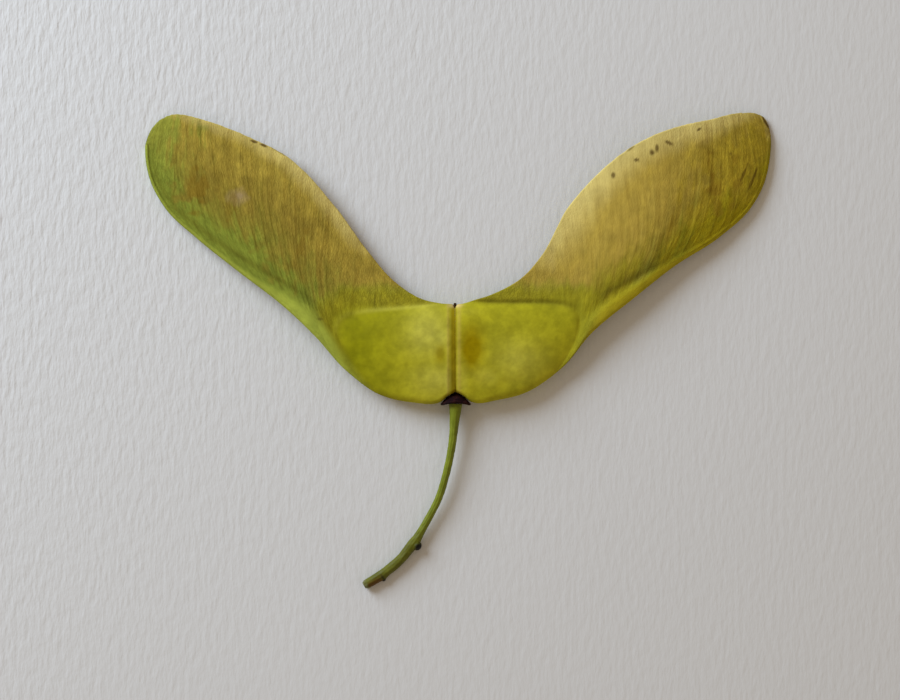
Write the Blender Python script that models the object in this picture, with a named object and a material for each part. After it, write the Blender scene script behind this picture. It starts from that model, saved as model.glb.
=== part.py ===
"""A maple samara: two winged nutlets that face each other across a seam, on their stalk.

It lies on its underside as picked. Metres, +Z up, +Y towards the tips of the wings.
The origin is on the resting surface, in the middle of the plan. The dimensions below are
in millimetres, and a place along a samara runs from 0 at the seam to 1 at the wing's tip.
"""

import math

import bmesh
import bpy
import numpy as np

MM = 0.001

# Where the halves meet, and the height of the nutlets' middle.
SEAM_X = -0.42
SEAM_GAP = 0.20
MIDDLE_Z = 1.70

# The nutlet's lens: its half thickness, how square its outline is, how full its dome is,
# and the groove that the two form along the seam.
NUTLET_HALF_THICK = 1.80
NUTLET_SQUARE = 1.9
NUTLET_FULL = 0.56
NUTLET_REACH = 10.4
SEAM_DIP = 0.34
SEAM_DIP_WIDTH = 0.85

# The wing's sheet, its edges and the slow waves of its trailing part.
SHEET_HALF = 0.31
EDGE_ROUND = 0.45
NUTLET_EDGE_ROUND = 1.20
WAVE_HEIGHT = 0.26

# The thick rib that is the leading edge, at its root and at the tip, and its fall inwards.
RIB_HALF = 0.72
RIB_HALF_TIP = 0.34
RIB_WIDTH = 1.8
RIB_WIDTH_TIP = 0.45
RIB_FALL = (0.6, 1.4)
RIB_ROOT = (0.16, 0.31)
RIB_TAPER = (0.33, 0.85)

# The raised veins leave the leading edge along it and bend over to the trailing edge, which
# they meet further out than they start, by each half's "skew".
VEINS = 20
FIRST_VEIN = 0.155
LAST_VEIN = 0.965
VEIN_HALF_WIDTH = 0.0062
VEIN_HEIGHT = 0.14
VEIN_SWEEP = 0.9
VEIN_SWEEP_ROOT = (0.10, 0.36)
VEIN_SKEW_END = (0.60, 1.0)
VEIN_ARM = 0.34
VEIN_LEAN = math.radians(18)
VEIN_FADE_LEADING = (0.5, 1.8)
VEIN_FADE_TRAILING = (0.25, 1.2)

# The mesh: rows across, from the leading to the trailing edge, and its columns.
ROWS = (
    0, 0.02, 0.055, 0.10, 0.16, 0.24, 0.33, 0.43, 0.53, 0.62, 0.70, 0.77, 0.84, 0.90, 0.95, 0.985, 1
)
NUTLET_COLUMNS = 14
NUTLET_CROWDING = 1.25
NUTLET_END = 0.45
TIP_COLUMNS = 3
EDGE_SAMPLES = 800

# Each station gives the leading edge, then the trailing edge, as x out from the seam and y.
# A nutlet lies along a line that starts level at "low" and curves up past "from" by "rise".
# Its half width is given above that line and below it, where it runs out past the edge.
# Its dimple is x, y, depth, half width and half height. Heights are the sheet's middle, as
# pairs of place and height.
LEFT = {
    "name": "samara_left",
    "out": -1,
    "stations": (
        (0.00, -4.84, 0.00, 4.80),
        (0.50, -5.14, 0.34, 5.44),
        (1.00, -5.46, 0.90, 5.53),
        (1.45, -5.95, 1.45, 5.56),
        (2.05, -6.33, 2.10, 5.66),
        (5.20, -6.28, 4.30, 6.25),
        (9.00, -5.36, 7.40, 8.35),
        (12.84, -2.64, 10.40, 11.80),
        (16.68, 1.56, 14.30, 17.15),
        (21.00, 5.60, 19.50, 22.75),
        (26.30, 9.65, 25.30, 25.85),
        (31.10, 13.50, 30.20, 27.65),
        (34.70, 16.90, 33.70, 28.35),
        (36.50, 20.05, 35.60, 27.60),
        (37.15, 22.70, 36.75, 26.10),
        (37.25, 24.45, 37.25, 24.45),
    ),
    "skew": 0.20,
    "half": (5.95, 7.4),
    "length": 14.5,
    "low": -0.60,
    "from": 4.0,
    "rise": 3.1,
    "blunt": 2.4,
    "dimple": (1.9, -0.5, 0.16, 0.8, 2.4),
    "heights": (
        (0, MIDDLE_Z),
        (0.24, MIDDLE_Z),
        (0.46, 1.95),
        (0.70, 1.42),
        (0.88, 0.58),
        (0.96, SHEET_HALF),
        (1, SHEET_HALF),
    ),
    "crown": 0.55,
    "tilt": -0.15,
    "waves": 2.6,
    "wave_start": 0.35,
}
RIGHT = {
    "name": "samara_right",
    "out": 1,
    "stations": (
        (0.00, -4.80, 0.00, 4.80),
        (0.60, -5.10, 0.34, 5.44),
        (1.15, -5.44, 0.90, 5.55),
        (1.62, -5.92, 1.45, 5.70),
        (2.25, -6.29, 2.10, 5.92),
        (5.20, -5.98, 4.30, 6.62),
        (8.64, -5.04, 7.60, 8.35),
        (12.60, -2.34, 10.35, 11.30),
        (16.32, 1.98, 13.60, 17.20),
        (21.24, 6.06, 19.20, 23.00),
        (26.40, 10.10, 24.70, 26.15),
        (31.92, 13.68, 30.66, 27.70),
        (35.48, 17.00, 34.20, 28.50),
        (37.20, 20.20, 36.40, 28.35),
        (37.86, 23.20, 37.50, 27.45),
        (37.92, 25.40, 37.92, 25.40),
    ),
    "skew": 0.14,
    "half": (6.00, 7.4),
    "length": 14.5,
    "low": -0.30,
    "from": 3.0,
    "rise": 2.8,
    "blunt": 2.6,
    "dimple": (2.7, 0.6, 0.34, 1.0, 2.2),
    "heights": (
        (0, MIDDLE_Z),
        (0.24, MIDDLE_Z),
        (0.46, 2.20),
        (0.70, 1.75),
        (0.88, 0.70),
        (0.96, SHEET_HALF),
        (1, SHEET_HALF),
    ),
    "crown": 0.70,
    "tilt": 0.35,
    "waves": 2.2,
    "wave_start": 0.10,
}

# The stalk's line from the fruit to its cut end: x, y, height of its centre, radius.
STALK = (
    (-0.34, -6.52, MIDDLE_Z, 0.80),
    (-0.40, -7.30, 1.68, 0.71),
    (-0.49, -8.50, 1.65, 0.57),
    (-0.78, -11.40, 1.52, 0.46),
    (-1.40, -14.50, 1.33, 0.44),
    (-2.42, -17.85, 1.11, 0.43),
    (-3.80, -20.55, 0.92, 0.44),
    (-5.30, -23.04, 0.77, 0.53),
    (-7.05, -25.20, 0.66, 0.58),
    (-9.10, -26.90, 0.58, 0.58),
    (-11.34, -28.30, 0.58, 0.58),
)
STALK_RINGS = 52
STALK_SIDES = 14
STALK_END_SHARE = 0.86
# Swellings: place along it, side in degrees from the outside of its curve, height, half
# length, half width in degrees. The first two are the scars of lost branches.
STALK_BUMPS = (
    (0.692, 8, 0.42, 0.020, 32),
    (0.905, 0, 0.22, 0.018, 38),
    (0.705, 190, 0.10, 0.040, 90),
)

# The receptacle's outline about the line of the seam: radius and y, from its top round its
# rim to the socket that the stalk ends in. Its two sides droop round the nutlets.
RECEPTACLE = (
    (0.00, -5.02),
    (0.22, -5.08),
    (0.50, -5.26),
    (0.85, -5.44),
    (1.16, -5.58),
    (1.46, -5.86),
    (1.72, -6.06),
    (1.90, -6.20),
    (1.92, -6.34),
    (1.72, -6.46),
    (1.35, -6.42),
    (0.96, -6.42),
    (0.92, -6.34),
    (0.00, -6.34),
)
RECEPTACLE_SIDES = 24
RECEPTACLE_FLAT = 0.84
RECEPTACLE_DROOP = 0.26
RECEPTACLE_X = SEAM_X + 0.10

# The dried style: radius and y, from its root between the halves to its worn tip.
STYLE = ((0.00, 4.96), (0.11, 5.04), (0.15, 5.22), (0.21, 5.44), (0.17, 5.60), (0.00, 5.65))
STYLE_SIDES = 12
STYLE_Z = 1.95

# Linear colour and roughness.
GREEN = ((0.36, 0.37, 0.06), 0.50)
STEM_GREEN = ((0.20, 0.26, 0.04), 0.48)
DARK_BROWN = ((0.040, 0.016, 0.018), 0.75)
STYLE_BROWN = ((0.075, 0.045, 0.012), 0.80)


def eased(value, limits):
    """0 below the lower limit, 1 above the upper one, and a smooth step between them."""
    low, high = limits
    share = np.clip((value - low) / (high - low), 0, 1)
    return share * share * (3 - 2 * share)


def between(first, second, share):
    return first + (second - first) * share


def smooth_curve(knots, points, at):
    """A curve through points at the knots, with the slope at each from its neighbours."""
    slopes = np.gradient(points, knots, axis=0)
    span = np.clip(np.searchsorted(knots, at, side="right") - 1, 0, len(knots) - 2)
    width = (knots[span + 1] - knots[span])[..., None]
    share = (at[..., None] - knots[span][..., None]) / width
    square, cube = share**2, share**3
    return (
        (2 * cube - 3 * square + 1) * points[span]
        + (cube - 2 * square + share) * width * slopes[span]
        + (3 * square - 2 * cube) * points[span + 1]
        + (cube - square) * width * slopes[span + 1]
    )


def lengths_along(points):
    """Each point's distance along the line through them, as a share of the whole."""
    steps = np.linalg.norm(np.diff(points, axis=0), axis=1)
    along = np.concatenate([[0], np.cumsum(steps)])
    return along / along[-1]


def unit(vectors):
    return vectors / np.maximum(np.linalg.norm(vectors, axis=-1, keepdims=True), 1e-9)


def columns():
    """Places of the grid's columns, with 1 at a vein's crest: plain ones on the nutlet, three
    to a vein, one between the veins that cross the nutlet's edge, and the tip's."""
    veins = np.linspace(FIRST_VEIN, LAST_VEIN, VEINS)
    plain_end = FIRST_VEIN - 2.5 * VEIN_HALF_WIDTH
    plain = np.linspace(0, 1, NUTLET_COLUMNS) ** NUTLET_CROWDING * plain_end
    middles = (veins[1:] + veins[:-1]) / 2
    tip = np.linspace(LAST_VEIN + VEIN_HALF_WIDTH, 1, TIP_COLUMNS + 1)[1:]
    places = np.concatenate([
        veins,
        veins - VEIN_HALF_WIDTH,
        veins + VEIN_HALF_WIDTH,
        plain,
        middles[middles < NUTLET_END],
        tip,
    ])
    crest = (np.arange(len(places)) < VEINS).astype(float)
    order = np.argsort(places)
    return places[order], crest[order]


def edges(side, leading_along, trailing_along):
    """Points on the leading edge and points on the trailing edge."""
    stations = np.array(side["stations"])
    knots = lengths_along(stations)
    leading = smooth_curve(knots, stations[:, :2], leading_along)
    trailing = smooth_curve(knots, stations[:, 2:], trailing_along)
    return leading, trailing


def plan(side, along, across):
    """Points of the plan. A line across is a Bezier curve that follows a vein: it starts
    along the leading edge, bends over and ends further out, on the trailing edge. Over the
    nutlet it is straight."""
    shift = side["skew"] / 2 * eased(along, VEIN_SWEEP_ROOT) * (1 - eased(along, VEIN_SKEW_END))
    leading, trailing = edges(side, along - shift, along + shift)
    edge_way = unit(np.gradient(leading[:, 0], axis=0))[:, None]
    width = np.linalg.norm(trailing - leading, axis=-1, keepdims=True)
    straight = unit(trailing - leading)
    square_to = np.stack([-straight[..., 1], straight[..., 0]], -1)
    sweep = VEIN_SWEEP * eased(along, VEIN_SWEEP_ROOT)[..., None]
    lean = VEIN_LEAN * sweep
    start_way = straight * (1 - sweep) + edge_way * sweep
    end_way = straight * np.cos(lean) + square_to * np.sin(lean)
    near_leading = leading + VEIN_ARM * width * start_way
    near_trailing = trailing - VEIN_ARM * width * end_way
    v = across[..., None]
    points = (
        (1 - v) ** 3 * leading
        + 3 * (1 - v) ** 2 * v * near_leading
        + 3 * (1 - v) * v**2 * near_trailing
        + v**3 * trailing
    )
    return points


def distance_from(edge, points):
    """Each point's distance from the nearest one of an edge's points."""
    return np.linalg.norm(points[:, :, None] - edge, axis=-1).min(-1)


def rounded(distance, radius):
    """A quarter round: 0 at the rim, 1 from the radius inwards."""
    return np.sqrt(1 - (1 - np.clip(distance / radius, 0, 1)) ** 2)


def nutlet_height(side, x, y):
    """Half thickness of the nutlet's lens, which is 0 on its outline and outside it."""
    line = side["low"] + side["rise"] * (np.maximum(x - side["from"], 0) / NUTLET_REACH) ** 2
    above, below = side["half"]
    off = np.abs(y - line) / np.where(y > line, above, below)
    out = np.maximum(x, 0) / side["length"]
    within = np.clip(1 - off**NUTLET_SQUARE - out ** side["blunt"], 0, 1)
    dip = 1 - SEAM_DIP * np.exp(-((x / SEAM_DIP_WIDTH) ** 2))
    return NUTLET_HALF_THICK * within**NUTLET_FULL * dip


def dimple_depth(side, x, y):
    """The shallow hollow that the nutlet's upper face has beside the seam."""
    middle_x, middle_y, depth, half_width, half_height = side["dimple"]
    return depth * np.exp(-(((x - middle_x) / half_width) ** 2) - ((y - middle_y) / half_height) ** 2)


def rib_height(along, distance):
    """Half thickness of the leading edge's rib, by the distance in from the edge."""
    taper = eased(along, RIB_TAPER)
    fall = 1 - eased(distance / between(RIB_WIDTH, RIB_WIDTH_TIP, taper), RIB_FALL)
    return between(RIB_HALF, RIB_HALF_TIP, taper) * fall * eased(along, RIB_ROOT)


def half_thickness(side, along, crest, points):
    """Half the thickness everywhere: lens, rib and veined sheet, blended into each other and
    rounded off at both edges."""
    fine = np.linspace(0, 1, EDGE_SAMPLES)
    from_leading, from_trailing = [distance_from(edge, points) for edge in edges(side, fine, fine)]
    lens = nutlet_height(side, points[..., 0], points[..., 1])
    on_sheet = 1 - eased(lens, (0.02, 0.30))
    inside = eased(from_leading, VEIN_FADE_LEADING) * eased(from_trailing, VEIN_FADE_TRAILING)
    sheet = SHEET_HALF + VEIN_HEIGHT * crest[:, None] * on_sheet * inside
    blended = (lens**3 + rib_height(along, from_leading) ** 3 + sheet**3) ** (1 / 3)
    leading_round = between(NUTLET_EDGE_ROUND, EDGE_ROUND, eased(along, (0.12, 0.60)))
    return blended * rounded(from_leading, leading_round) * rounded(from_trailing, EDGE_ROUND)


def middle_height(side, along, across):
    """Height of the middle of the sheet: level on the nutlet, then crowned, tilted and
    waved along the wing, and down on the ground at its tip."""
    knots, heights = np.array(side["heights"]).T
    spine = smooth_curve(knots, heights[:, None], along)[..., 0]
    on_wing = eased(along, (0.20, 0.45)) * np.sqrt(1 - along)
    crown = side["crown"] * 4 * across * (1 - across)
    tilt = side["tilt"] * (2 * across - 1)
    wave = WAVE_HEIGHT * across**2 * np.sin(2 * np.pi * (side["waves"] * along + side["wave_start"]))
    return np.maximum(spine + on_wing * (crown + tilt + wave), SHEET_HALF)


def samara_grids(side):
    """Top and bottom grids of one samara, x out from the seam, and its half thickness. The
    two share one line of points along each edge and one point at the tip."""
    places, crest = columns()
    along, across = np.meshgrid(places, np.array(ROWS, float), indexing="ij")
    points = plan(side, along, across)
    x, y = points[..., 0], points[..., 1]
    half = half_thickness(side, along, crest, points)
    middle = middle_height(side, along, across)
    above = half - dimple_depth(side, x, y) * eased(half, (0.4, 1.2))
    out = np.maximum(x, 0) + SEAM_GAP / 2
    top = np.stack([out, y, middle + above], -1)
    bottom = np.stack([out, y, np.maximum(middle - half, 0)], -1)
    for row in (0, -1):
        top[:, row, 2] = middle[:, row]
        bottom[:, row, 2] = middle[:, row]
    top[-1] = top[-1, 0]
    bottom[-1] = top[-1, 0]
    return top, bottom, half


def new_material(name, look):
    colour, roughness = look
    made = bpy.data.materials.new(name)
    made.use_nodes = True
    made.diffuse_color = (*colour, 1)
    shader = made.node_tree.nodes["Principled BSDF"]
    shader.inputs["Base Color"].default_value = (*colour, 1)
    shader.inputs["Roughness"].default_value = roughness
    shader.inputs["Metallic"].default_value = 0
    return made


def new_object(name, shape, material, parent, place=(0, 0, 0)):
    """An object from a closed bmesh, smooth except at its creases."""
    bmesh.ops.recalc_face_normals(shape, faces=shape.faces)
    mesh = bpy.data.meshes.new(name)
    shape.to_mesh(mesh)
    shape.free()
    mesh.shade_smooth()
    mesh.set_sharp_from_angle(angle=math.radians(40))
    mesh.materials.append(material)
    made = bpy.data.objects.new(name, mesh)
    bpy.context.scene.collection.objects.link(made)
    made.parent = parent
    made.location = [value * MM for value in place]
    return made


def add_cell(shape, a, b, c, d, split_at_a=False):
    """A four-sided cell's two triangles, or the one left where a side is a single point."""
    halves = ((a, b, c), (a, c, d)) if split_at_a else ((a, b, d), (b, c, d))
    for three in halves:
        if len(set(three)) == 3:
            shape.faces.new(three)


def samara(side, material, parent):
    """One half of the fruit: nutlet, leading rib and veined wing, grown as one piece. Both
    faces split a cell along the diagonal whose ends are nearer in thickness."""
    top, bottom, half = samara_grids(side)
    split_at_a = np.abs(half[1:, 1:] - half[:-1, :-1]) < np.abs(half[1:, :-1] - half[:-1, 1:])
    scale = np.array([side["out"] * MM, MM, MM])
    shape = bmesh.new()
    upper = [[shape.verts.new(point * scale) for point in column] for column in top[:-1]]
    lower = []
    for column, above in zip(bottom[:-1], upper):
        inner = [shape.verts.new(point * scale) for point in column[1:-1]]
        lower.append([above[0], *inner, above[-1]])
    tip = [shape.verts.new(top[-1, 0] * scale)] * len(ROWS)
    for grid in (upper + [tip], lower + [tip]):
        for column, (here, after) in enumerate(zip(grid, grid[1:])):
            for row in range(len(ROWS) - 1):
                cell = (here[row], after[row], after[row + 1], here[row + 1])
                add_cell(shape, *cell, split_at_a=split_at_a[column, row])
    for row in range(len(ROWS) - 1):
        add_cell(shape, upper[0][row], upper[0][row + 1], lower[0][row + 1], lower[0][row])
    return new_object(side["name"], shape, material, parent, (SEAM_X, 0, 0))


def bump_heights(place, angles):
    """How far the stalk's swellings stand out of the ring at this place."""
    total = np.zeros(len(angles))
    for where, side, height, half_length, half_width in STALK_BUMPS:
        turn = (angles - math.radians(side) + math.pi) % (2 * math.pi) - math.pi
        beside = np.exp(-((turn / math.radians(half_width)) ** 2))
        total += height * beside * math.exp(-(((place - where) / half_length) ** 2))
    return total


def join_rings(shape, rings):
    for here, after in zip(rings, rings[1:]):
        for side in range(len(here)):
            other = (side + 1) % len(here)
            add_cell(shape, here[side], here[other], after[other], after[side])


def stalk(material, parent):
    """The stalk: a stem of varying thickness along a smooth line, with its branch scars.
    Angle 0 of a ring is on the outside of the stalk's curve, and 90 degrees is up."""
    route = np.array(STALK)
    places = np.linspace(0, 1, STALK_RINGS)
    line = smooth_curve(lengths_along(route[:, :3]), route, places)
    ways = unit(np.gradient(line[:, :3], axis=0))
    angles = np.linspace(0, 2 * math.pi, STALK_SIDES, endpoint=False)
    shape = bmesh.new()
    rings = []
    for number, (place, point, way) in enumerate(zip(places, line, ways)):
        level = unit(np.cross([0, 0, 1], way))
        up = np.cross(way, level)
        radii = point[3] + bump_heights(place, angles)
        if number in (0, STALK_RINGS - 1):
            radii = radii * STALK_END_SHARE
        spokes = np.cos(angles)[:, None] * level + np.sin(angles)[:, None] * up
        spots = point[:3] + radii[:, None] * spokes
        spots[:, 2] = np.maximum(spots[:, 2], 0)
        rings.append([shape.verts.new(spot * MM) for spot in spots])
    join_rings(shape, rings)
    for ring in (rings[0], rings[-1]):
        cap = shape.faces.new(ring)
        bmesh.ops.triangulate(shape, faces=[cap])
    return new_object("stalk", shape, material, parent)


def turned(name, outline, sides, flat, droop, centre, material, parent):
    """A piece turned about a line along Y, pressed flat in height by a share. Its sides, to
    the left and right of that line, droop by more the wider it is."""
    shape = bmesh.new()
    angles = np.linspace(0, 2 * math.pi, sides, endpoint=False)
    widest = max(radius for radius, _ in outline)
    rings = []
    for radius, y in outline:
        if radius == 0:
            rings.append([shape.verts.new((0, y * MM, 0))] * sides)
            continue
        across, up = radius * np.cos(angles), flat * radius * np.sin(angles)
        lowered = y - droop * (across / widest) ** 2
        spots = np.stack([across, lowered, up], -1)
        rings.append([shape.verts.new(spot * MM) for spot in spots])
    join_rings(shape, rings)
    return new_object(name, shape, material, parent, centre)


def receptacle(material, parent):
    centre = (RECEPTACLE_X, 0, MIDDLE_Z)
    shape = (RECEPTACLE, RECEPTACLE_SIDES, RECEPTACLE_FLAT, RECEPTACLE_DROOP)
    turned("receptacle", *shape, centre, material, parent)


def style_remnant(material, parent):
    turned("style_remnant", STYLE, STYLE_SIDES, 1, 0, (SEAM_X, 0, STYLE_Z), material, parent)


def build():
    for old in list(bpy.data.objects):
        bpy.data.objects.remove(old)
    fruit = bpy.data.objects.new("maple_samara", None)
    bpy.context.scene.collection.objects.link(fruit)
    wall = new_material("fruit_wall", GREEN)
    samara(LEFT, wall, fruit)
    samara(RIGHT, wall, fruit)
    stalk(new_material("stalk_skin", STEM_GREEN), fruit)
    receptacle(new_material("receptacle_skin", DARK_BROWN), fruit)
    style_remnant(new_material("style_skin", STYLE_BROWN), fruit)


build()
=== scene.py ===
import math

import bpy
import numpy as np
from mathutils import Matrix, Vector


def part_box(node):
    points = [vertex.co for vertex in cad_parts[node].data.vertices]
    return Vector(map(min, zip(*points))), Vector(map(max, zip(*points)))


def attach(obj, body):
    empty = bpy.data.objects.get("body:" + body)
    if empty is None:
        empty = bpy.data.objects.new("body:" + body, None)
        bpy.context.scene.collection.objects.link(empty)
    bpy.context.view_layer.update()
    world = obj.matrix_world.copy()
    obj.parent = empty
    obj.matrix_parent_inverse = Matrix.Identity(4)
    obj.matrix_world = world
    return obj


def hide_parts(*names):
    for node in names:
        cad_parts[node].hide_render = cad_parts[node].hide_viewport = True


# A dried maple key on white paper. Shapes are in millimetres and made metres when a mesh is
# made. A samara is a grid of places along it, 0 at the seam to 1 at the tip, and across it,
# 0 at the leading edge to 1 at the trailing edge.

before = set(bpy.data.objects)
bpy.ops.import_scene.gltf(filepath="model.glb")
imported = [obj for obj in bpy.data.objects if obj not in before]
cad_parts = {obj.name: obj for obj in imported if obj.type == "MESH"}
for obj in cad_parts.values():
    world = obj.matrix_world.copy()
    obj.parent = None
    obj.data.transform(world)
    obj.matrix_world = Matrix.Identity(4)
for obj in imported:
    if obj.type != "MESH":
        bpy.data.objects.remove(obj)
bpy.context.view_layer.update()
mm = 0.001
print("frame loaded:", ", ".join(sorted(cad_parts)))


def boxOf(node):
    # lowest and highest corner of a CAD node, in millimetres
    return np.array(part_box(node)) / mm


seamX = (boxOf("samara_left")[1, 0] + boxOf("samara_right")[0, 0]) / 2
collarMiddle = boxOf("receptacle").mean(0)
styleMiddle = boxOf("style_remnant").mean(0)


# Numbers in arrays

noiseTable = (97, 89)
crowdSamples = 2001


def eased(value, low, high):
    # 0 below low, 1 above high, and the smooth step 3s^2 - 2s^3 between them
    share = np.clip((value - low) / (high - low), 0, 1)
    return share * share * (3 - 2 * share)


def window(value, opens, full, closes, shut):
    # eased in from opens to full, and out again from closes to shut
    return eased(value, opens, full) * (1 - eased(value, closes, shut))


def between(first, last, share):
    # the first at a share of 0, the last at 1, and in proportion between them
    return first + (last - first) * share


def bell(value, middle, width):
    # 1 at the middle, falling off as a Gauss curve of that width
    return np.exp(-(((value - middle) / width) ** 2))


def unit(vectors):
    # each vector divided by its length
    return vectors / np.maximum(np.linalg.norm(vectors, axis=-1, keepdims=True), 1e-9)


def softNoise(x, y, seed):
    # a table of random numbers read at whole steps of x and y, with smooth steps between
    columns, rows = noiseTable
    table = np.random.default_rng(seed).random(noiseTable)
    wholeX, wholeY = np.floor(x).astype(int), np.floor(y).astype(int)
    shareX, shareY = eased(x - wholeX, 0, 1), eased(y - wholeY, 0, 1)
    left, right = wholeX % columns, (wholeX + 1) % columns
    lower, upper = wholeY % rows, (wholeY + 1) % rows
    low = table[left, lower] * (1 - shareX) + table[right, lower] * shareX
    high = table[left, upper] * (1 - shareX) + table[right, upper] * shareX
    return low * (1 - shareY) + high * shareY


def grain(x, y, seed, layers=3):
    # soft noise from -1 to 1: layers at twice the fineness and half the strength each
    total, strength, reach = 0, 1, 0
    for layer in range(layers):
        total = total + strength * (2 * softNoise(x * 2**layer, y * 2**layer, seed + layer) - 1)
        reach += strength
        strength /= 2
    return total / reach


def smoothCurve(knots, points, at):
    # a cubic curve through points at the knots; the slope at each comes from its neighbours
    slopes = np.gradient(points, knots, axis=0)
    span = np.clip(np.searchsorted(knots, at, side="right") - 1, 0, len(knots) - 2)
    width = (knots[span + 1] - knots[span])[..., None]
    share = (at[..., None] - knots[span][..., None]) / width
    square, cube = share**2, share**3
    return (
        (2 * cube - 3 * square + 1) * points[span]
        + (cube - 2 * square + share) * width * slopes[span]
        + (3 * square - 2 * cube) * points[span + 1]
        + (cube - square) * width * slopes[span + 1]
    )


def lengthsAlong(points):
    # each point's distance along the line through them, as a share of the whole
    steps = np.linalg.norm(np.diff(points, axis=0), axis=1)
    along = np.concatenate([[0], np.cumsum(steps)])
    return along / along[-1]


def crowded(count, weight):
    # places from 0 to 1 at even steps of the running total of a weight, so closer where it is high
    fine = np.linspace(0, 1, crowdSamples)
    filled = np.concatenate([[0], np.cumsum(weight(fine[1:] - fine[1] / 2))])
    return np.interp(np.linspace(0, 1, count), filled / filled[-1], fine)


# Meshes

sharpAngle = math.radians(55)


def newPiece(name, points, faces, node, material, fields=None, uv=None):
    # a smooth closed mesh at the origin, in metres, that stands for a CAD node
    mesh = bpy.data.meshes.new(name)
    mesh.from_pydata((points * mm).tolist(), [], faces)
    mesh.update()
    for label, values in (fields or {}).items():
        attribute = mesh.attributes.new(label, "FLOAT", "POINT")
        attribute.data.foreach_set("value", values.astype(np.float32))
    if uv is not None:
        corner = np.zeros(len(mesh.loops), int)
        mesh.loops.foreach_get("vertex_index", corner)
        layer = mesh.uv_layers.new(name="Plan")
        layer.data.foreach_set("uv", uv[corner].astype(np.float32).ravel())
    mesh.shade_smooth()
    mesh.set_sharp_from_angle(angle=sharpAngle)
    mesh.materials.append(material)
    piece = bpy.data.objects.new(name, mesh)
    bpy.context.scene.collection.objects.link(piece)
    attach(piece, "root")
    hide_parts(node)
    print(name, "made:", len(mesh.vertices), "points")
    return piece


def cellsOf(index):
    # the four corners of each cell of a grid of point numbers, as rows of four
    cells = np.stack([index[:-1, :-1], index[1:, :-1], index[1:, 1:], index[:-1, 1:]], -1)
    return cells.reshape(-1, 4)


def facesFrom(cells):
    # cells as lists of corners, where a repeated corner makes a triangle
    faces = []
    for cell in cells.tolist():
        corner = list(dict.fromkeys(cell))
        if len(corner) > 2:
            faces.append(corner)
    return faces


# Materials. The two spans are the part of a noise's range that shades a colour or roughness.

shadeSpan = (0.25, 0.75)
roughSpan = (0.3, 0.7)


def tint(red, green, blue):
    # a colour as seen, 0 to 255 a part, as the linear one a shader takes, by the sRGB standard
    part = np.array([red, green, blue]) / 255
    return (*np.where(part > 0.04045, ((part + 0.055) / 1.055) ** 2.4, part / 12.92), 1)


class Nodes:
    # short ways to build one material; a value is a socket, a number or a colour
    def __init__(self, name):
        # a new material of that name, with its own tree of nodes
        self.material = bpy.data.materials.new(name)
        self.material.use_nodes = True
        self.tree = self.material.node_tree

    def put(self, socket, value):
        # joins a socket to another, or gives it a number or colour
        if isinstance(value, bpy.types.NodeSocket):
            self.tree.links.new(value, socket)
        else:
            socket.default_value = value

    def add(self, kind, values=None, **settings):
        # a node of that kind, with its settings and with values for its inputs
        node = self.tree.nodes.new(kind)
        for label, value in settings.items():
            setattr(node, label, value)
        for label, value in (values or {}).items():
            self.put(node.inputs[label], value)
        return node

    def field(self, label):
        # the mesh's values of that name
        return self.add("ShaderNodeAttribute", attribute_name=label).outputs["Fac"]

    def place(self, scale, source="Object"):
        # the surface's own coordinates, stretched by a scale for each direction
        where = self.add("ShaderNodeTexCoord").outputs[source]
        return self.add("ShaderNodeMapping", {"Vector": where, "Scale": scale}).outputs["Vector"]

    def noise(self, scale, source, detail, roughness=0.55, distortion=0.0):
        # soft noise from 0 to 1 over the surface
        values = {"Vector": self.place(scale, source), "Scale": 1, "Detail": detail}
        values.update({"Roughness": roughness, "Distortion": distortion})
        return self.add("ShaderNodeTexNoise", values).outputs["Fac"]

    def borders(self, scale, source):
        # the distance from the nearest border of a net of random cells
        values = {"Vector": self.place(scale, source), "Scale": 1}
        return self.add("ShaderNodeTexVoronoi", values, feature="DISTANCE_TO_EDGE").outputs["Distance"]

    def span(self, value, low, high, first=0.0, last=1.0):
        # a value from low to high made one from first to last, and held at the ends
        values = {"Value": value, "From Min": low, "From Max": high, "To Min": first, "To Max": last}
        return self.add("ShaderNodeMapRange", values, interpolation_type="SMOOTHSTEP").outputs["Result"]

    def sums(self, operation, first, second):
        # one operation on two values
        return self.add("ShaderNodeMath", {0: first, 1: second}, operation=operation).outputs[0]

    def mixed(self, blend, under, colour, share):
        # a colour mixed into another by a share; 0, 6 and 7 are the node's inputs for colours
        values = {0: share, 6: under, 7: colour}
        return self.add("ShaderNodeMix", values, data_type="RGBA", blend_type=blend).outputs[2]

    def over(self, under, colour, share):
        # a colour laid over another by a share
        return self.mixed("MIX", under, colour, share)

    def shaded(self, colour, value, low, high):
        # a colour times low where the value is low, times high where it is high
        return self.mixed("MULTIPLY", colour, self.span(value, *shadeSpan, low, high), 1)

    def relief(self, height, distance, after=None):
        # bumps up to a distance in millimetres, on top of the ones that come before
        values = {"Strength": 1.0, "Distance": distance * mm, "Height": height}
        if after is not None:
            values["Normal"] = after
        return self.add("ShaderNodeBump", values).outputs["Normal"]

    def dressed(self, colour, roughness, specular, normal):
        # the material, once its shader has these
        shader = self.tree.nodes["Principled BSDF"]
        values = {"Base Color": colour, "Roughness": roughness, "Normal": normal}
        values["Specular IOR Level"] = specular
        for label, value in values.items():
            self.put(shader.inputs[label], value)
        return self.material


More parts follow.
